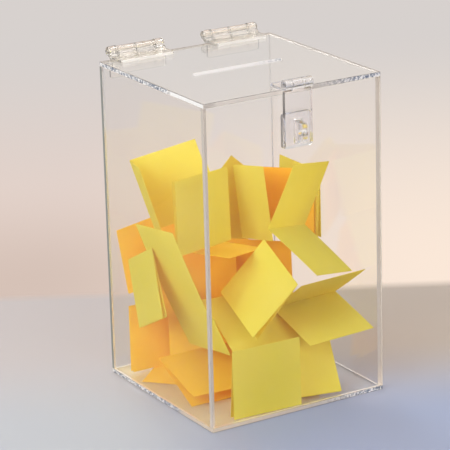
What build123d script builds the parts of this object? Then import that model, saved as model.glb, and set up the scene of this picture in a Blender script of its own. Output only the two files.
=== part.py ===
from build123d import *
import math
import os

os.makedirs("parts", exist_ok=True)

# Clear ballot box with a hinged lid, a hasp for a padlock, and folded ballots inside.
# Millimetres. Origin at the centre of the base's underside, front towards -Y, +Z up.

# Box, of clear sheet cemented edge to edge
box_width = 216.0
box_depth = 216.0
box_height = 355.6
sheet = 4.76
arris = 0.4

# Ballot slot in the lid
slot_length = 110.0
slot_width = 9.5

# Gaps, and one overrun for all cuts
cement_gap = 0.1
lid_gap = 0.3
side_gap = 0.3
bore_gap = 0.05
overrun = 2.0

# Two hinges on the back edge
hinge_spacing = 119.0
hinge_axis_offset = 7.5
leaf_length = 66.0
leaf_reach = 28.0
leaf_thickness = 3.0
leaf_corner = 2.5
knuckle_radius = 4.5
end_knuckle = 9.5
bulb_radius = 5.2
bulb_round = 3.2
bulb_overhang = 2.0
hinge_pin_radius = 2.0
hinge_pin_bevel = 0.6
pin_stand_out = 0.6

# Hasp on the front edge
hasp_width = 33.0
hasp_axis_reach = 7.0
hasp_axis_rise = 6.4
hasp_leaf_reach = 27.0
hasp_leaf_thickness = 3.0
hasp_corner = 2.5
hasp_knuckle_radius = 5.5
hasp_middle_knuckle = 15.0
hasp_web_inset = 3.2
hasp_pin_radius = 2.2
strap_thickness = 4.5
strap_drop = 68.0
strap_slot_width = 9.8
strap_slot_length = 26.3
strap_slot_margin = 4.4
strap_slot_corner = 1.5
strap_bevel_height = 4.0
strap_bevel_depth = 2.6

# Staple on the front panel, with a tab and an eye for the padlock
staple_height = 37.0
tab_thickness = 6.0
tab_height = 21.0
tab_reach = 21.0
tab_corner = 5.0
eye_radius = 3.3
eye_inset = 6.0

# Ballots: the paper, the swelling at the fold, then the crease's length and each panel's depth
# from it as shares of half the inner width, which is the last share of the inner height
ballot_thickness = 0.3
ballot_fold = 0.2
ballot_fold_sides = 6
ballot_crease_share = 0.794
ballot_panel_share = 0.736
ballot_rise_share = 0.2983

# Places worked out from the sizes above
half_width = box_width / 2
half_depth = box_depth / 2
wall_bottom = sheet + cement_gap
lid_bottom = box_height - sheet
wall_height = lid_bottom - lid_gap - wall_bottom
side_depth = box_depth - 2 * (sheet + cement_gap)
inner_half_width = half_width - sheet
inner_half_depth = half_depth - sheet
inner_height = lid_bottom - sheet
hinge_y = half_depth + hinge_axis_offset
hinge_z = box_height + hinge_axis_offset
hasp_y = -half_depth - hasp_axis_reach
hasp_z = box_height + hasp_axis_rise


def finish(part, name):
    """Label a finished piece and write it."""
    part.label = name
    export_step(part, f"parts/{name}.step")


# Base plate, which the four walls stand on
with BuildPart() as base_panel:
    with BuildSketch():
        Rectangle(box_width, box_depth)
    extrude(amount=sheet)
    chamfer(base_panel.edges(), length=arris)
finish(base_panel.part, "base_panel")

# Front and back panels, which cover the ends of the side panels
for name, outwards in (("front_panel", -1), ("back_panel", 1)):
    with BuildPart() as end_panel:
        with BuildSketch(Plane.XY.offset(wall_bottom)):
            with Locations((0, outwards * (half_depth - sheet / 2))):
                Rectangle(box_width, sheet)
        extrude(amount=wall_height)
        uprights = end_panel.edges().filter_by(Axis.Z).group_by(Axis.Y)
        chamfer(uprights[-1 if outwards > 0 else 0], length=arris)
    finish(end_panel.part, name)

# Side panels, between the front and the back
for name, outwards in (("left_panel", -1), ("right_panel", 1)):
    with BuildPart() as side_panel:
        with BuildSketch(Plane.XY.offset(wall_bottom)):
            with Locations((outwards * (half_width - sheet / 2), 0)):
                Rectangle(sheet, side_depth)
        extrude(amount=wall_height)
    finish(side_panel.part, name)

# Lid, its back edge set in to clear the hinge leaves, with the ballot slot
with BuildPart() as lid_panel:
    with BuildSketch(Plane.XY.offset(lid_bottom)):
        with Locations((0, -side_gap / 2)):
            Rectangle(box_width, box_depth - side_gap)
    extrude(amount=sheet)
    chamfer(lid_panel.edges(), length=arris)
    with BuildSketch(Plane.XY.offset(lid_bottom - overrun)):
        SlotOverall(slot_length, slot_width)
    extrude(amount=sheet + 2 * overrun, mode=Mode.SUBTRACT)
finish(lid_panel.part, "lid_panel")


def hinge_leaf(section):
    """One hinge moulding: a plate, a short end knuckle with a bulb, and a long knuckle.

    section cuts the barrel at mid length. Its x runs from the barrel along the plate, and
    its y points away from the surface that the plate is cemented to. The two leaves of a
    hinge are the same moulding, one turned end for end, so their knuckles interleave.
    """
    barrel = Axis(section.origin, section.z_dir)
    end = -leaf_length / 2
    plate_start = hinge_axis_offset + side_gap
    plate_low = cement_gap - hinge_axis_offset
    short_knuckle = (end, end_knuckle - side_gap / 2)
    long_knuckle = (side_gap / 2, leaf_length / 2 - end_knuckle - side_gap)
    with BuildPart() as leaf:
        with BuildSketch(section.offset(end)):
            with Locations((plate_start, plate_low)):
                Rectangle(leaf_reach - plate_start, leaf_thickness, align=(Align.MIN, Align.MIN))
        extrude(amount=leaf_length)
        tip = leaf.faces().sort_by(Axis(section.origin, section.x_dir))[-1]
        fillet(tip.edges().filter_by(Axis(section.origin, section.y_dir)), radius=leaf_corner)
        # Each knuckle is drawn in to the plate like a drop
        for start, length in (short_knuckle, long_knuckle):
            with BuildSketch(section.offset(start)):
                Circle(knuckle_radius)
                with Locations((plate_start, plate_low)):
                    Rectangle(leaf_thickness / 2, leaf_thickness, align=(Align.MIN, Align.MIN))
                make_hull()
            extrude(amount=length)
        # Bulb round the short knuckle, domed at its outer end
        bulb_plane = Plane(section.origin, x_dir=section.z_dir, z_dir=section.x_dir)
        with BuildSketch(bulb_plane) as bulb:
            with Locations((end - bulb_overhang, 0)):
                Rectangle(
                    bulb_overhang + short_knuckle[1], bulb_radius, align=(Align.MIN, Align.MIN)
                )
            outer_corner = bulb.vertices().sort_by(Axis.X)[:2].sort_by(Axis.Y)[-1]
            fillet(outer_corner, radius=bulb_round)
        revolve(axis=barrel)
        with BuildSketch(section.offset(end - overrun - bulb_overhang)):
            Circle(hinge_pin_radius + bore_gap)
        extrude(amount=leaf_length + 2 * (overrun + bulb_overhang), mode=Mode.SUBTRACT)
    return leaf.part


# Hinges: a leaf down the back panel, a leaf along the lid, and the pin through both
for side, outwards in (("left", -1), ("right", 1)):
    centre = (outwards * hinge_spacing / 2, hinge_y, hinge_z)
    down_the_back = Plane(centre, x_dir=(0, 0, -1), z_dir=(1, 0, 0))
    along_the_lid = Plane(centre, x_dir=(0, -1, 0), z_dir=(-1, 0, 0))
    finish(hinge_leaf(down_the_back), f"{side}_hinge_box_leaf")
    finish(hinge_leaf(along_the_lid), f"{side}_hinge_lid_leaf")
    pin_half_length = leaf_length / 2 + bulb_overhang + pin_stand_out
    with BuildPart() as hinge_pin:
        with BuildSketch(Plane(centre, x_dir=(0, 1, 0), z_dir=(1, 0, 0))):
            Circle(hinge_pin_radius)
        extrude(amount=pin_half_length, both=True)
        chamfer(hinge_pin.edges().filter_by(GeomType.CIRCLE), length=hinge_pin_bevel)
    finish(hinge_pin.part, f"{side}_hinge_pin")

# Hasp leaf on the lid, with the barrel's two outer knuckles
hasp_section = Plane((0, hasp_y, hasp_z), x_dir=(0, 1, 0), z_dir=(1, 0, 0))
outer_knuckle = (hasp_width - hasp_middle_knuckle) / 2
hasp_plate_low = cement_gap - hasp_axis_rise
with BuildPart() as hasp_lid_leaf:
    with BuildSketch(hasp_section.offset(-hasp_width / 2)):
        with Locations((hasp_knuckle_radius + side_gap, hasp_plate_low)):
            Rectangle(
                hasp_leaf_reach - hasp_knuckle_radius - side_gap,
                hasp_leaf_thickness,
                align=(Align.MIN, Align.MIN),
            )
    extrude(amount=hasp_width)
    tip = hasp_lid_leaf.faces().sort_by(Axis.Y)[-1]
    fillet(tip.edges().filter_by(Axis.Z), radius=hasp_corner)
    for start in (-hasp_width / 2, hasp_width / 2 - outer_knuckle + side_gap / 2):
        with BuildSketch(hasp_section.offset(start)):
            Circle(hasp_knuckle_radius)
            with Locations((hasp_web_inset, hasp_plate_low)):
                Rectangle(
                    hasp_knuckle_radius + side_gap - hasp_web_inset,
                    hasp_leaf_thickness,
                    align=(Align.MIN, Align.MIN),
                )
        extrude(amount=outer_knuckle - side_gap / 2)
    with BuildSketch(hasp_section.offset(-hasp_width / 2 - overrun)):
        Circle(hasp_pin_radius + bore_gap)
    extrude(amount=hasp_width + 2 * overrun, mode=Mode.SUBTRACT)
finish(hasp_lid_leaf.part, "hasp_lid_leaf")

# Hasp pin, flush with the barrel's ends
with BuildPart() as hasp_pin:
    with BuildSketch(hasp_section):
        Circle(hasp_pin_radius)
    extrude(amount=hasp_width / 2, both=True)
    chamfer(hasp_pin.edges().filter_by(GeomType.CIRCLE), length=arris)
finish(hasp_pin.part, "hasp_pin")

# Strap, hanging from the middle knuckle, slotted for the staple's tab
strap_face = Plane(
    (0, hasp_y - strap_thickness / 2, hasp_z), x_dir=(1, 0, 0), z_dir=(0, 1, 0)
)
strap_top = hasp_axis_rise + side_gap
slot_middle = strap_drop - strap_slot_margin - strap_slot_length / 2
with BuildPart() as hasp_strap:
    with BuildSketch(strap_face) as outline:
        with Locations((0, strap_top)):
            Rectangle(hasp_width, strap_drop - strap_top, align=(Align.CENTER, Align.MIN))
        fillet(outline.vertices().group_by(Axis.Y)[-1], radius=hasp_corner)
        Rectangle(
            hasp_middle_knuckle - side_gap, strap_top + arris, align=(Align.CENTER, Align.MIN)
        )
        with Locations((0, slot_middle)):
            RectangleRounded(
                strap_slot_width, strap_slot_length, strap_slot_corner, mode=Mode.SUBTRACT
            )
    extrude(amount=strap_thickness)
    with BuildSketch(hasp_section):
        Circle(hasp_knuckle_radius)
    extrude(amount=(hasp_middle_knuckle - side_gap) / 2, both=True)
    with BuildSketch(hasp_section):
        Circle(hasp_pin_radius + bore_gap)
    extrude(amount=hasp_width / 2 + overrun, both=True, mode=Mode.SUBTRACT)
    # Bevel on the front of the lower edge, which a finger lifts the strap by
    with BuildSketch(hasp_section):
        with BuildLine():
            Polyline(
                (-strap_thickness / 2, strap_bevel_height - strap_drop),
                (-strap_thickness / 2, -strap_drop),
                (strap_bevel_depth - strap_thickness / 2, -strap_drop),
                close=True,
            )
        make_face()
    extrude(amount=hasp_width / 2 + overrun, both=True, mode=Mode.SUBTRACT)
finish(hasp_strap.part, "hasp_strap")

# Staple: a plate behind the strap, and a tab with the eye that stands out through it
staple_low = hasp_z - strap_drop
staple_thickness = hasp_axis_reach - strap_thickness / 2 - side_gap - cement_gap
tab_z = hasp_z - slot_middle
with BuildPart() as hasp_staple:
    with BuildSketch(Plane.XZ.offset(half_depth + cement_gap)) as plate:
        with Locations((0, staple_low)):
            Rectangle(hasp_width, staple_height, align=(Align.CENTER, Align.MIN))
        fillet(plate.vertices(), radius=hasp_corner)
    extrude(amount=staple_thickness)
    with BuildSketch(Plane.YZ) as tab:
        with Locations((-half_depth - cement_gap, tab_z)):
            Rectangle(tab_reach, tab_height, align=(Align.MAX, Align.CENTER))
        fillet(tab.vertices().group_by(Axis.X)[0], radius=tab_corner)
        with Locations((-half_depth - cement_gap - tab_reach + eye_inset, tab_z)):
            Circle(eye_radius, mode=Mode.SUBTRACT)
    extrude(amount=tab_thickness / 2, both=True)
finish(hasp_staple.part, "hasp_staple")

# Ballots, each one sheet folded once. A row places the middle of the crease, in shares of half
# the inner width, half the inner depth and the inner height, then gives the crease's heading and
# slope and the turns of the two panels about it, in degrees
ballot_shares = (
    # The large upright slip at the left, and those that lean on the left side
    (-0.6590, 0.8850, 0.5730, -50, -71, 77, 149),
    (-0.7532, -0.0199, 0.3387, -90, 8, 109, -70),
    (-0.8714, 0.6005, 0.4137, -98, 26, -92, -89),
    (-0.5350, 0.9938, 0.4805, 0, 9, -90, -91.5),
    (-0.5330, 0.7846, 0.2272, 0, 0, -90, -94),
    (-0.5000, 0.2260, 0.1013, 0, 0, -153, -163),
    # The upper row, from the middle to the right
    (-0.1100, 0.0868, 0.5770, 106, 88, 0, -4),
    (0.6810, 0.8432, 0.5730, 0, -42, -90, -84),
    (0.2908, -0.0387, 0.5617, 87, 77, -91, -93),
    (0.6685, 0.3776, 0.6305, -45, 0, -90, -92),
    (0.4017, -0.2134, 0.4949, 28, -13, 109, -148),
    (0.9938, 0.4362, 0.6243, -90, 0, -90, -92.8),
    # The lower front
    (0.5910, -0.2325, 0.2431, 0, 2, 146, -165),
    (0.0774, -0.6005, 0.4306, -95, -20, -124, -120),
    (-0.1050, -0.5800, 0.1668, -2, 0, 32, 30),
    (-0.3484, -0.9624, 0.2205, -2, 0, -91, -86),
    (0.2709, -0.4603, 0.1856, -12, 0, -125, -123),
    # The middle and the bottom of the heap
    (0.0000, 0.2814, 0.4250, -60, 0, 172, -63),
    (-0.6978, 0.1935, 0.0017, -48, 0, 0, 0.8),
    (-0.3201, 0.3975, 0.4168, -30, 0, -90, -84.2),
    (-0.1935, 0.4258, 0.2257, -30, 0, -90, -95),
    (0.3871, -0.0973, 0.2205, -20, 0, -91, -84),
    (0.4164, 0.4540, 0.3971, -45, 0, -90, -84),
)


def in_the_heap(direction, share):
    """A stretch of paper that points that way, as long as its share of the space in the box."""
    return Vector(
        direction.X * share * inner_half_width,
        direction.Y * share * inner_half_depth,
        direction.Z * share * inner_height * ballot_rise_share,
    )


for number, row in enumerate(ballot_shares, start=1):
    across, along, up, heading, slope, *rolls = row
    turn = math.radians(heading)
    climb = math.radians(slope)
    level = Vector(-math.sin(turn), math.cos(turn), 0)
    ahead = Vector(
        math.cos(turn) * math.cos(climb), math.sin(turn) * math.cos(climb), math.sin(climb)
    )
    middle = Vector(
        across * inner_half_width, along * inner_half_depth, sheet + up * inner_height
    )
    crease = in_the_heap(ahead, ballot_crease_share)
    first, second = [
        in_the_heap(level.rotate(Axis((0, 0, 0), ahead), roll), ballot_panel_share)
        for roll in rolls
    ]
    section = Plane(middle - crease / 2, x_dir=first, z_dir=first.cross(second))
    with BuildPart() as ballot:
        with BuildSketch(section):
            RegularPolygon(ballot_fold, ballot_fold_sides)
            for reach, turned in ((first.length, 0), (second.length, first.get_angle(second))):
                Rectangle(
                    reach, ballot_thickness, rotation=turned, align=(Align.MIN, Align.CENTER)
                )
        extrude(amount=crease.length, dir=crease.normalized())
    finish(ballot.part, f"ballot_{number:02d}")
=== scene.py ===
import math

import bmesh
import bpy
from mathutils import Matrix, Vector


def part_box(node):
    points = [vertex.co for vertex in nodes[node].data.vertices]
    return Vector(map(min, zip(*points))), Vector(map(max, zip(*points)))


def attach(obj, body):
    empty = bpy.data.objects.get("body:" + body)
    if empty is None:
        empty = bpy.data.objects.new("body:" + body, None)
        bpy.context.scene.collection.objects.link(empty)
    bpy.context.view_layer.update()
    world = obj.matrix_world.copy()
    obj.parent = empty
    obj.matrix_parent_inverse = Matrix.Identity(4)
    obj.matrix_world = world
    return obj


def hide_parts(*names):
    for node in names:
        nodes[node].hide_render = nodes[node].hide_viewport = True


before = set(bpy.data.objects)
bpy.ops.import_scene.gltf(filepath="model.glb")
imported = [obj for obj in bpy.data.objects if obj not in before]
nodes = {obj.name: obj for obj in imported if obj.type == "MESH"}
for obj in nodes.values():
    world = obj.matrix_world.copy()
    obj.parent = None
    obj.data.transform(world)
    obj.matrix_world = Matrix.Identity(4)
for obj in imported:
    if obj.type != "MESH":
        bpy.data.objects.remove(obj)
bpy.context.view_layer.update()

# Lengths and places are in metres, except where a comment says millimetres
acrylic_ior = 1.49
# The share of light that crosses a paper slip rather than coming back from it
paper_glow = 0.42
# How squarely a cut has to face a side to be partly and wholly taken for that side's cut
aslant = 0.5
square_on = 0.9
# A Mix node's inputs for numbers and for colours have the same names, so they go by place
number_a, number_b = 2, 3
colour_a, colour_b = 6, 7


def linear(code):
    """A hex colour as linear RGBA."""
    parts = [int(code[i : i + 2], 16) / 255 for i in (1, 3, 5)]
    return (*[c / 12.92 if c < 0.04045 else ((c + 0.055) / 1.055) ** 2.4 for c in parts], 1)


def add(tree, kind, links=None, **settings):
    """Add a node, set what it is given, and link its inputs.

    A node that is given as an input stands for the first of its outputs that is in use.
    """
    node = tree.nodes.new("ShaderNode" + kind)
    for key, value in settings.items():
        setattr(node, key, value)
    for key, value in (links or {}).items():
        socket = node.inputs[key]
        if isinstance(value, bpy.types.Node):
            value = next(output for output in value.outputs if output.enabled)
        if isinstance(value, bpy.types.NodeSocket):
            tree.links.new(value, socket)
        else:
            socket.default_value = value
    return node


def new_material(name):
    """An empty node material, and its tree."""
    material = bpy.data.materials.new(name)
    material.use_nodes = True
    material.node_tree.nodes.clear()
    return material, material.node_tree


def own_direction(tree, normal):
    """The way a face points on the piece itself, however the piece is turned."""
    own = add(
        tree,
        "VectorTransform",
        {0: normal},
        vector_type="NORMAL",
        convert_from="WORLD",
        convert_to="OBJECT",
    )
    return add(tree, "SeparateXYZ", {"Vector": own})


def let_light_through(tree, surface, passed):
    """End a material: its surface, which light on its way to other pieces goes through."""
    shadow = add(tree, "LightPath").outputs["Is Shadow Ray"]
    mix = add(tree, "MixShader", {0: shadow, 1: surface, 2: passed})
    add(tree, "OutputMaterial", {"Surface": mix})


# Cast acrylic sheet, sawn to size. The faces keep the glassy skin of the casting, with faint rub
# marks. Most cuts are polished and show a thin taupe line of bent light, and dullness is how much
# of it. The next setting is how far the saw chipped the cuts on the left and on the right of the
# front, whose sparkle is painted as white and dark glints in their colour. The one after is a
# painted highlight: white painted along the front third of a left cut. The last is painted light:
# the yellow light that the slips throw, painted on a sheet's left part
def acrylic_sheet(name, thin_axis, dullness=1.0, chip_and_glint_amount=0.0, painted_glare=0.0, painted_slip_light=0.0):
    material, tree = new_material(name)
    coords = add(tree, "TexCoord").outputs["Object"]
    place = add(tree, "SeparateXYZ", {"Vector": coords})
    # The way out of the sheet, also where a face is seen from inside it
    facing = add(tree, "NewGeometry")
    side = add(
        tree, "MapRange", {"Value": facing.outputs["Backfacing"], "To Min": 1.0, "To Max": -1.0}
    )
    outward = add(
        tree,
        "VectorMath",
        {0: facing.outputs["True Normal"], "Scale": side},
        operation="SCALE",
    )
    towards = own_direction(tree, outward)
    # Zero on the sheet's two faces, and the dullness on its cuts
    flat = add(tree, "Math", {0: towards.outputs[thin_axis]}, operation="ABSOLUTE")
    cut = add(
        tree, "MapRange", {"Value": flat, "From Min": 0.9, "From Max": 0.3, "To Max": dullness}
    )

    # Rub marks about 10 mm across
    marks = add(tree, "TexNoise", {"Vector": coords, "Scale": 100.0, "Detail": 4.0})
    rubbed = add(
        tree,
        "MapRange",
        {"Value": marks, "From Min": 0.45, "From Max": 0.75, "To Min": 0.01, "To Max": 0.05},
    )
    # The casting's skin swells by a few hundredths of a millimetre every 70 mm
    skin = add(tree, "TexNoise", {"Vector": coords, "Scale": 14.0, "Detail": 1.0})
    swell = add(tree, "Bump", {"Strength": 0.03, "Distance": 0.001, "Height": skin})
    polished = add(
        tree,
        "BsdfPrincipled",
        {
            "Base Color": linear("#FEFEFD"),
            "Roughness": rubbed,
            "IOR": acrylic_ior,
            "Transmission Weight": 1.0,
            "Normal": swell,
        },
    )
    # Painted light: a warm yellow diffuse on the sheet's left part stands for the light that the
    # slips throw there
    left_part = add(
        tree, "MapRange", {"Value": place.outputs["X"], "From Min": 0.04, "From Max": -0.04}
    )
    painted_light_share = add(tree, "Math", {0: left_part, 1: painted_slip_light}, operation="MULTIPLY")
    warm = add(tree, "BsdfDiffuse", {"Color": linear("#FBE8AC")})
    face = add(tree, "MixShader", {0: painted_light_share, 1: polished, 2: warm})

    # Chips are on the cuts that face left, but for the front third that the lamp lights, and on
    # the right of those that face front. Their colour is painted glints, and the front third gets
    # a painted white highlight
    left = add(
        tree,
        "MapRange",
        {"Value": towards.outputs["X"], "From Min": -aslant, "From Max": -square_on},
    )
    front = add(
        tree,
        "MapRange",
        {"Value": towards.outputs["Y"], "From Min": -aslant, "From Max": -square_on},
    )
    far_right = add(
        tree, "MapRange", {"Value": place.outputs["X"], "From Min": 0.02, "From Max": 0.08}
    )
    front_right = add(tree, "Math", {0: front, 1: far_right}, operation="MULTIPLY")
    front_third = add(
        tree, "MapRange", {"Value": place.outputs["Y"], "From Min": -0.036, "From Max": -0.044}
    )
    lit = add(tree, "Math", {0: front_third, 1: left}, operation="MULTIPLY")
    unlit = add(tree, "Math", {0: left, 1: lit}, operation="SUBTRACT")
    sawn = add(tree, "Math", {0: unlit, 1: front_right}, operation="MAXIMUM")
    chipped = add(tree, "Math", {0: sawn, 1: chip_and_glint_amount}, operation="MULTIPLY")
    white = add(tree, "Math", {0: lit, 1: painted_glare}, operation="MULTIPLY")
    chip_and_highlight_area = add(tree, "Math", {0: chipped, 1: white}, operation="MAXIMUM")
    # Saw chips, real ones 0.3 mm, are drawn 2 mm long so that they show
    chips = add(
        tree, "TexNoise", {"Vector": coords, "Scale": 450.0, "Detail": 2.0, "Roughness": 0.7}
    )
    # Painted glints: the chips' colour runs from dark grey to white, and the painted white
    # highlight joins them
    glint = add(tree, "MapRange", {"Value": chips, "From Min": 0.45, "From Max": 0.54})
    sparkle = add(tree, "Math", {0: glint, 1: white}, operation="MAXIMUM")
    chip_glint_tone = add(
        tree,
        "Mix",
        {"Factor": sparkle, colour_a: linear("#808A9C"), colour_b: linear("#FFFFFF")},
        data_type="RGBA",
    )

    # A plain cut is taupe, but the back panel's left one is painted a darker grey, a painted
    # shade that shows it as a grey line against the wall
    at_back = add(
        tree, "MapRange", {"Value": place.outputs["Y"], "From Min": 0.09, "From Max": 0.1}
    )
    grey = add(tree, "Math", {0: at_back, 1: left}, operation="MULTIPLY")
    plain_tone = add(
        tree,
        "Mix",
        {"Factor": grey, colour_a: linear("#F3EAE1"), colour_b: linear("#B4B8B4")},
        data_type="RGBA",
    )
    # The lid's and the base's cuts on the right and at the back are turned from the light, and
    # are painted a darker taupe: painted shade
    turned = add(
        tree, "Math", {0: towards.outputs["X"], 1: towards.outputs["Y"]}, operation="MAXIMUM"
    )
    away_side = add(
        tree, "MapRange", {"Value": turned, "From Min": aslant, "From Max": square_on}
    )
    painted_shade = add(tree, "Math", {0: away_side, 1: chip_and_glint_amount}, operation="MULTIPLY")
    painted_shade_tone = add(
        tree,
        "Mix",
        {"Factor": painted_shade, colour_a: plain_tone, colour_b: linear("#A89D96")},
        data_type="RGBA",
    )
    # The ballot slot's walls were left frosted by the cutter, and they are painted near white as
    # well, a painted light from above. They are the only cuts within 80 mm of the middle along
    # the slot and 16 mm across it
    from_middle = add(tree, "Mapping", {"Vector": coords, "Scale": (1.0, 5.0, 0.0)})
    reach = add(tree, "VectorMath", {0: from_middle}, operation="LENGTH")
    in_slot = add(tree, "MapRange", {"Value": reach, "From Min": 0.08, "From Max": 0.07})
    slot_tone = add(
        tree,
        "Mix",
        {"Factor": in_slot, colour_a: painted_shade_tone, colour_b: linear("#FCFCFF")},
        data_type="RGBA",
    )
    tone = add(
        tree,
        "Mix",
        {"Factor": chip_and_highlight_area, colour_a: slot_tone, colour_b: chip_glint_tone},
        data_type="RGBA",
    )
    frosted_and_painted_area = add(tree, "Math", {0: chip_and_highlight_area, 1: in_slot}, operation="MAXIMUM")
    clearness = add(tree, "MapRange", {"Value": frosted_and_painted_area, "To Min": 0.34, "To Max": 0.05})
    depth = add(tree, "Math", {0: chips, 1: chip_and_highlight_area}, operation="MULTIPLY")
    relief = add(tree, "Bump", {"Strength": 0.6, "Distance": 0.001, "Height": depth})
    edge = add(
        tree,
        "BsdfPrincipled",
        {
            "Base Color": tone,
            "Roughness": 0.18,
            "IOR": acrylic_ior,
            "Transmission Weight": clearness,
            "Normal": relief,
        },
    )
    surface = add(tree, "MixShader", {0: cut, 1: face, 2: edge})

    # Light reaches the contents straight through the faces, less through the edges
    shade = add(
        tree,
        "Mix",
        {"Factor": cut, colour_a: linear("#F8F8F8"), colour_b: linear("#CCC8C4")},
        data_type="RGBA",
    )
    let_light_through(tree, surface, add(tree, "BsdfTransparent", {"Color": shade}))
    return material


# Injection-moulded clear plastic: glossy, with soft flow waves from the mould, and a faint
# tint that shows only where the light passes through a lot of it. Wave is how deep the flow waves
# are, airy is the share of light that goes straight through, and the last setting is how white
# the front edge of a leaf on the lid is painted, a painted highlight where it catches the lamp
def moulded_plastic(name, tint, wave, airy, painted_highlight_strength=0.0):
    material, tree = new_material(name)
    coords = add(tree, "TexCoord").outputs["Object"]
    # Flow waves about 12 mm apart
    flow = add(tree, "TexNoise", {"Vector": coords, "Scale": 80.0, "Detail": 1.0})
    waves = add(tree, "Bump", {"Strength": wave, "Distance": 0.001, "Height": flow})
    bloom = add(
        tree,
        "MapRange",
        {"Value": flow, "From Min": 0.4, "From Max": 0.7, "To Min": 0.01, "To Max": 0.05},
    )
    plastic = add(
        tree,
        "BsdfPrincipled",
        {
            "Base Color": linear(tint),
            "Roughness": bloom,
            "IOR": acrylic_ior,
            "Transmission Weight": 1.0,
            "Normal": waves,
        },
    )
    clear = add(tree, "BsdfTransparent", {"Color": linear(tint)})
    glassy = add(tree, "MixShader", {0: airy, 1: plastic, 2: clear})

    # The leaf on the lid ends ahead of the hinge's knuckles, and its front edge gets a painted
    # white highlight
    towards = own_direction(tree, add(tree, "NewGeometry").outputs["True Normal"])
    front = add(
        tree, "MapRange", {"Value": towards.outputs["Y"], "From Min": -0.9, "From Max": -0.99}
    )
    place = add(tree, "SeparateXYZ", {"Vector": coords})
    on_lid = add(
        tree, "MapRange", {"Value": place.outputs["Y"], "From Min": 0.1, "From Max": 0.095}
    )
    leaf_edge = add(tree, "Math", {0: front, 1: on_lid}, operation="MULTIPLY")
    painted_edge_highlight = add(tree, "Math", {0: leaf_edge, 1: painted_highlight_strength}, operation="MULTIPLY")
    white = add(
        tree, "BsdfPrincipled", {"Base Color": linear("#FFFFFF"), "Roughness": 0.25}
    )
    surface = add(tree, "MixShader", {0: painted_edge_highlight, 1: glassy, 2: white})
    let_light_through(tree, surface, clear)
    return material


# Dyed writing paper: matt, thin enough to glow from behind, with fibres and slight cockles. Shade
# and tone are the dye where there is more and less of it, and glow is the colour of the light
# that has crossed it. Light that has crossed a sheet or two is nearer to orange, and the slips
# inside the heap get deeper, more orange copies of this paper, as painted shade
def dyed_paper(name, shade, tone, glow):
    material, tree = new_material(name)
    coords = add(tree, "TexCoord").outputs["Object"]
    # The dye is uneven over 60 mm or so
    cloud = add(tree, "TexNoise", {"Vector": coords, "Scale": 16.0, "Detail": 3.0})
    dye = add(tree, "MapRange", {"Value": cloud, "From Min": 0.3, "From Max": 0.7})
    dyed = add(
        tree,
        "Mix",
        {"Factor": dye, colour_a: linear(shade), colour_b: linear(tone)},
        data_type="RGBA",
    )
    # Cockles about 30 mm across, and fibres that are drawn 1 mm long so that they show
    cockle = add(tree, "TexNoise", {"Vector": coords, "Scale": 33.0, "Detail": 2.0})
    swell = add(tree, "Bump", {"Strength": 0.4, "Distance": 0.003, "Height": cockle})
    fibre = add(tree, "TexNoise", {"Vector": coords, "Scale": 1000.0, "Detail": 4.0})
    grain = add(
        tree,
        "Bump",
        {"Strength": 0.25, "Distance": 0.0001, "Height": fibre, "Normal": swell},
    )
    matt = add(
        tree,
        "BsdfPrincipled",
        {
            "Base Color": dyed,
            "Roughness": 0.8,
            "Specular IOR Level": 0.25,
            "Normal": grain,
        },
    )
    # Light that comes through the sheet has crossed all of the dye
    through = add(tree, "BsdfTranslucent", {"Color": linear(glow), "Normal": grain})
    sheet = add(tree, "MixShader", {0: paper_glow, 1: matt, 2: through})
    let_light_through(tree, sheet, add(tree, "BsdfTransparent", {"Color": linear("#E4BC3C")}))
    return material


# The clear pieces keep the shapes of their solids and get these finishes
finishes = {
    ("left_panel", "right_panel"): acrylic_sheet("cast acrylic sides", "X", dullness=0.9),
    ("front_panel", "back_panel"): acrylic_sheet("cast acrylic front and back", "Y"),
    ("base_panel",): acrylic_sheet("cast acrylic base", "Z", chip_and_glint_amount=1.0, painted_slip_light=0.27),
    ("lid_panel",): acrylic_sheet("cast acrylic lid", "Z", chip_and_glint_amount=1.0, painted_glare=1.0),
    (
        "left_hinge_box_leaf",
        "left_hinge_lid_leaf",
        "left_hinge_pin",
        "right_hinge_box_leaf",
        "right_hinge_lid_leaf",
        "right_hinge_pin",
    ): moulded_plastic("moulded acrylic hinges", "#FFFEFB", wave=0.12, airy=0.22, painted_highlight_strength=0.9),
    (
        "hasp_lid_leaf",
        "hasp_pin",
        "hasp_strap",
        "hasp_staple",
    ): moulded_plastic("moulded acrylic hasp", "#FEFEFF", wave=0.06, airy=0.1),
}
for names, finish in finishes.items():
    for name in names:
        for slot in nodes[name].material_slots:
            slot.material = finish

# One lemon paper, and deeper, more orange copies of it that are painted shade inside the heap
top_paper = dyed_paper("dyed yellow paper", "#E7E95F", "#EDEF70", "#E9D227")
inner_shaded_paper = dyed_paper("dyed yellow paper with painted shade inside the heap", "#F6EC54", "#FAF064", "#FFDC3A")
deep_shaded_paper = dyed_paper("dyed yellow paper with painted deep shade in the heap", "#EEDA3C", "#F4E04C", "#FAC626")
# The slips that get painted shade, inside the heap and deep in it, by number
inner_shaded_slips = (4, 5, 19, 20, 21, 22, 23)
deep_shaded_slips = (6, 10, 18)
papers = dict.fromkeys(inner_shaded_slips, inner_shaded_paper) | dict.fromkeys(deep_shaded_slips, deep_shaded_paper)

# Ballots: the length of the crease, the reach of each panel from it, and the thickness
ballot_crease = 0.082
ballot_panel = 0.076
ballot_thickness = 0.0003
# The free corners lift by up to this much, one way or the other from slip to slip
corner_lift = 0.0006
corner_phase = 2.4
# Each sheet starts as a grid from -1 to 1, whose middle row becomes the crease
cells_along_crease = 12
cells_across_crease = 20
off_middle = 0.01
floor_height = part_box("base_panel")[1][2]
inner_half_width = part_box("right_panel")[0][0]
inner_half_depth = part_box("back_panel")[0][1]
inner_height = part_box("lid_panel")[0][2] - floor_height
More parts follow.
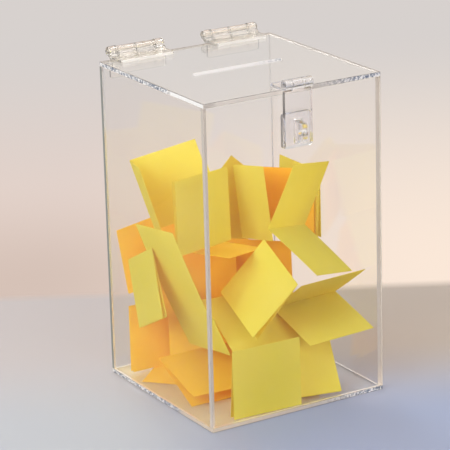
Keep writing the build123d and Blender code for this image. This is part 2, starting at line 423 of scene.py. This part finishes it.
# Where each slip lies, as its solid does: the crease's middle in shares of half the inner width,
# half the inner depth and the inner height, then the crease's heading and slope and the turns of
# the two panels in degrees. Each panel's free edge also has a curl, in millimetres
ballot_shares = (
    # The large upright slip at the left, and those that lean on the left side
    (-0.6590, 0.8850, 0.5730, -50, -71, 77, 149, 1.5, 1.0),
    (-0.7532, -0.0199, 0.3387, -90, 8, 109, -70, 1.0, 1.0),
    (-0.8714, 0.6005, 0.4137, -98, 26, -92, -89, 0.2, -0.2),
    (-0.5350, 0.9938, 0.4805, 0, 9, -90, -91.5, 0.0, 0.0),
    (-0.5330, 0.7846, 0.2272, 0, 0, -90, -94, 0.0, -0.5),
    (-0.5000, 0.2260, 0.1013, 0, 0, -153, -163, 1.0, -0.5),
    # The upper row, from the middle to the right
    (-0.1100, 0.0868, 0.5770, 106, 88, 0, -4, 1.0, 1.0),
    (0.6810, 0.8432, 0.5730, 0, -42, -90, -84, 1.0, 0.0),
    (0.2908, -0.0387, 0.5617, 87, 77, -91, -93, 1.0, -0.5),
    (0.6685, 0.3776, 0.6305, -45, 0, -90, -92, 0.3, -0.3),
    (0.4017, -0.2134, 0.4949, 28, -13, 109, -148, 1.5, 1.5),
    (0.9938, 0.4362, 0.6243, -90, 0, -90, -92.8, 0.0, 0.0),
    # The lower front
    (0.5910, -0.2325, 0.2431, 0, 2, 146, -165, 1.5, 1.5),
    (0.0774, -0.6005, 0.4306, -95, -20, -124, -120, 1.0, -0.5),
    (-0.1050, -0.5800, 0.1668, -2, 0, 32, 30, 0.5, -0.5),
    (-0.3484, -0.9624, 0.2205, -2, 0, -91, -86, 0.0, 1.5),
    (0.2709, -0.4603, 0.1856, -12, 0, -125, -123, 0.3, -0.3),
    # The middle and the bottom of the heap
    (0.0000, 0.2814, 0.4250, -60, 0, 172, -63, 1.0, 1.0),
    (-0.6978, 0.1935, 0.0017, -48, 0, 0, 0.8, 0.0, 2.0),
    (-0.3201, 0.3975, 0.4168, -30, 0, -90, -84.2, 0.5, 0.5),
    (-0.1935, 0.4258, 0.2257, -30, 0, -90, -95, 0.0, 0.0),
    (0.3871, -0.0973, 0.2205, -20, 0, -91, -84, 0.0, 0.0),
    (0.4164, 0.4540, 0.3971, -45, 0, -90, -84, 0.5, 0.5),
)


def ballot(number, across, along, up, heading, slope, roll_a, roll_b, curl_a, curl_b):
    """A flat sheet, creased across the middle, whose two panels are bowed and turned.

    It stands for the solid ballot of the same number.
    """
    form = bmesh.new()
    bmesh.ops.create_grid(
        form, x_segments=cells_along_crease, y_segments=cells_across_crease, size=1
    )
    crease = [vertex for vertex in form.verts if abs(vertex.co.y) < off_middle]
    bmesh.ops.scale(form, vec=(ballot_crease / 2, 0, 0), verts=crease)
    near = [vertex for vertex in form.verts if vertex.co.y < -off_middle]
    far = [vertex for vertex in form.verts if vertex.co.y > off_middle]
    for panel, roll, curl in ((near, roll_a - 180, curl_a), (far, roll_b, curl_b)):
        for vertex in panel:
            reach = abs(vertex.co.y)
            twist = corner_lift * math.sin(corner_phase * number) * reach * vertex.co.x
            vertex.co.z = curl / 1000 * reach**2 + twist
        turn = Matrix.Rotation(math.radians(roll), 3, "X")
        size = Matrix.Diagonal((ballot_crease / 2, ballot_panel, 1))
        bmesh.ops.transform(form, matrix=(turn @ size).to_4x4(), verts=panel)
    middle = (
        across * inner_half_width,
        along * inner_half_depth,
        floor_height + up * inner_height,
    )
    place = (
        Matrix.Translation(middle)
        @ Matrix.Rotation(math.radians(heading), 4, "Z")
        @ Matrix.Rotation(math.radians(-slope), 4, "Y")
    )
    bmesh.ops.transform(form, matrix=place, verts=form.verts)
    for face in form.faces:
        face.smooth = True
    for edge in form.edges:
        folded = edge.verts[0] in crease and edge.verts[1] in crease
        edge.smooth = not (folded or edge.is_boundary)
    mesh = bpy.data.meshes.new(f"folded_ballot_{number:02d}")
    form.to_mesh(mesh)
    form.free()
    mesh.materials.append(papers.get(number, top_paper))
    sheet = bpy.data.objects.new(mesh.name, mesh)
    bpy.context.collection.objects.link(sheet)
    paper = sheet.modifiers.new("paper", "SOLIDIFY")
    paper.thickness = ballot_thickness
    paper.offset = 0
    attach(sheet, "box")
    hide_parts(f"ballot_{number:02d}")


for number, row in enumerate(ballot_shares, start=1):
    ballot(number, *row)

# The floor lies just under the box. Its table top ends a little behind the box, along a line that
# is turned with the camera, and the wall starts there
floor_half_size = 6.0
floor_drop = 0.0006
wall_turn = math.radians(29.5)
table_end = 0.285
wall_start = 0.31


# Matt studio floor: a bluish table top near the box, and behind a line a pale warm wall, which is
# seen at its own colours, as a lit wall would be
def studio_floor():
    form = bmesh.new()
    bmesh.ops.create_grid(form, x_segments=1, y_segments=1, size=floor_half_size)
    mesh = bpy.data.meshes.new("studio_floor")
    form.to_mesh(mesh)
    form.free()
    floor = bpy.data.objects.new("studio_floor", mesh)
    floor.location = (0, 0, -floor_drop)
    bpy.context.collection.objects.link(floor)
    material, tree = new_material("matt studio floor")
    coords = add(tree, "TexCoord").outputs["Object"]
    turned = add(tree, "Mapping", {"Vector": coords, "Rotation": (0.0, 0.0, wall_turn)})
    place = add(tree, "SeparateXYZ", {"Vector": turned})

    # The table top is bluish in front of the box, most so on the right, and warmer behind it
    right_half = add(
        tree,
        "MapRange",
        {"Value": place.outputs["X"], "From Min": -0.15, "From Max": 0.08},
        interpolation_type="SMOOTHSTEP",
    )
    farther = add(
        tree,
        "MapRange",
        {"Value": place.outputs["Y"], "From Min": -0.12, "From Max": 0.12},
        interpolation_type="SMOOTHSTEP",
    )
    near_top = add(
        tree,
        "Mix",
        {"Factor": right_half, colour_a: linear("#B8BDC6"), colour_b: linear("#A2AECC")},
        data_type="RGBA",
    )
    far_top = add(
        tree,
        "Mix",
        {"Factor": right_half, colour_a: linear("#C1BBBC"), colour_b: linear("#C0B6AD")},
        data_type="RGBA",
    )
    top = add(
        tree,
        "Mix",
        {"Factor": farther, colour_a: near_top, colour_b: far_top},
        data_type="RGBA",
    )
    table = add(
        tree,
        "BsdfPrincipled",
        {"Base Color": top, "Roughness": 0.6, "Specular IOR Level": 0.2},
    )

    # The wall is warm and pale at its foot, more so on the right, and greyer higher up. On the
    # left it is palest a little above its foot
    rightwards = add(
        tree,
        "MapRange",
        {"Value": place.outputs["X"], "From Min": -0.25, "From Max": 0.25},
        interpolation_type="SMOOTHSTEP",
    )
    above_foot = add(
        tree,
        "MapRange",
        {"Value": place.outputs["Y"], "From Min": 0.35, "From Max": 0.8},
        interpolation_type="SMOOTHSTEP",
    )
    upwards = add(
        tree,
        "MapRange",
        {"Value": place.outputs["Y"], "From Min": 0.3, "From Max": 1.6},
        interpolation_type="SMOOTHSTEP",
    )
    left_wall = add(
        tree,
        "Mix",
        {"Factor": above_foot, colour_a: linear("#D6C2B7"), colour_b: linear("#E6D2C8")},
        data_type="RGBA",
    )
    low_wall = add(
        tree,
        "Mix",
        {"Factor": rightwards, colour_a: left_wall, colour_b: linear("#FBE8D8")},
        data_type="RGBA",
    )
    wall = add(
        tree,
        "Mix",
        {"Factor": upwards, colour_a: low_wall, colour_b: linear("#D7D1CE")},
        data_type="RGBA",
    )
    matt_wall = add(tree, "BsdfDiffuse", {"Color": wall})
    # What two sheets of acrylic hold back of the wall is made up for here
    path = add(tree, "LightPath")
    strength = add(
        tree,
        "MapRange",
        {"Value": path.outputs["Is Transmission Ray"], "To Min": 1.0, "To Max": 1.09},
    )
    lit_wall = add(tree, "Emission", {"Color": wall, "Strength": strength})
    looks = add(
        tree, "Math", {0: path.outputs["Is Camera Ray"], 1: path.outputs["Is Glossy Ray"]}
    )
    seen = add(
        tree, "Math", {0: looks, 1: path.outputs["Is Transmission Ray"]}, use_clamp=True
    )
    back = add(tree, "MixShader", {0: seen, 1: matt_wall, 2: lit_wall})

    behind = add(
        tree,
        "MapRange",
        {"Value": place.outputs["Y"], "From Min": table_end, "From Max": wall_start},
    )
    surface = add(tree, "MixShader", {0: behind, 1: table, 2: back})
    # The sheet's faces show little of it by reflection: in reflections the floor is painted near
    # black, a painted dark reflection, as in a studio hung with black cloth
    dark_reflection = add(tree, "BsdfDiffuse", {"Color": linear("#262626")})
    reflected = add(
        tree,
        "Math",
        {0: path.outputs["Is Glossy Ray"], 1: path.outputs["Is Transmission Ray"]},
        operation="SUBTRACT",
        use_clamp=True,
    )
    hidden = add(tree, "Math", {0: reflected, 1: 0.9}, operation="MULTIPLY")
    shown = add(tree, "MixShader", {0: hidden, 1: surface, 2: dark_reflection})
    add(tree, "OutputMaterial", {"Surface": shown})
    mesh.materials.append(material)


studio_floor()

lamp_target = Vector((0.0, 0.0, 0.16))


def soft_lamp(name, place, side, power, code):
    """A square lamp that faces the middle of the box."""
    light = bpy.data.lights.new(name, "AREA")
    light.size = side
    light.energy = power
    light.color = linear(code)[:3]
    lamp = bpy.data.objects.new(name, light)
    lamp.location = place
    aim = lamp_target - Vector(place)
    lamp.rotation_euler = aim.to_track_quat("-Z", "Y").to_euler()
    bpy.context.collection.objects.link(lamp)


# Soft light from the upper left, a warmer fill from the right, and one behind for the edges
soft_lamp("key", (-1.75, -0.5, 1.15), side=1.2, power=22.0, code="#FFFDF8")
soft_lamp("fill", (0.3, -2.1, 0.8), side=1.2, power=12.0, code="#FFF3E6")
soft_lamp("rim", (0.3, 1.9, 1.6), side=0.9, power=18.0, code="#FFFFFF")

# A pale room, which lights the box evenly. Through the plastic it is dimmer towards the horizon,
# which gives clear plastic its outlines
room_light = 0.66
world = bpy.data.worlds.new("studio")
bpy.context.scene.world = world
world.use_nodes = True
room = world.node_tree
path = add(room, "LightPath")
height = add(room, "SeparateXYZ", {"Vector": add(room, "TexCoord").outputs["Generated"]})
through = add(
    room,
    "MapRange",
    {"Value": height.outputs["Z"], "From Max": 0.7, "To Min": 0.72, "To Max": 1.15},
)
# The lid mirrors the lit wall behind, the front mirrors the dark room, and round parts mirror a
# white ceiling too
wall_behind = add(
    room,
    "MapRange",
    {
        "Value": height.outputs["Y"],
        "From Min": 0.2,
        "From Max": 0.6,
        "To Min": 0.35,
        "To Max": 0.65,
    },
)
ceiling = add(
    room,
    "MapRange",
    {"Value": height.outputs["Z"], "From Min": 0.6, "From Max": 0.8, "To Max": 1.6},
)
mirrored = add(room, "Math", {0: wall_behind, 1: ceiling})
around = add(
    room,
    "Mix",
    {"Factor": path.outputs["Is Glossy Ray"], number_a: room_light, number_b: mirrored},
)
strength = add(
    room,
    "Mix",
    {"Factor": path.outputs["Is Transmission Ray"], number_a: around, number_b: through},
)
air = room.nodes["Background"]
air.inputs["Color"].default_value = linear("#F6F0EB")
room.links.new(strength.outputs[0], air.inputs["Strength"])
bpy.context.scene.view_settings.view_transform = "Standard"

# Camera at the photograph's place and angle
camera_place = (-1.35990, -2.23645, 1.03219)
azimuth = math.radians(-30.90)
elevation = math.radians(18.035)
roll = math.radians(-1.573)
backwards = Vector(
    (
        math.sin(azimuth) * math.cos(elevation),
        -math.cos(azimuth) * math.cos(elevation),
        math.sin(elevation),
    )
)
level = Vector((math.cos(azimuth), math.sin(azimuth), 0))
upright = backwards.cross(level)
right = level * math.cos(roll) + upright * math.sin(roll)
up = upright * math.cos(roll) - level * math.sin(roll)
lens = bpy.data.cameras.new("camera")
lens.sensor_width = 36.0
lens.lens = 204.31
lens.clip_start = 0.1
lens.clip_end = 30.0
camera = bpy.data.objects.new("camera", lens)
turn = Matrix((right, up, backwards)).transposed().to_4x4()
camera.matrix_world = Matrix.Translation(camera_place) @ turn
bpy.context.collection.objects.link(camera)
bpy.context.scene.camera = camera
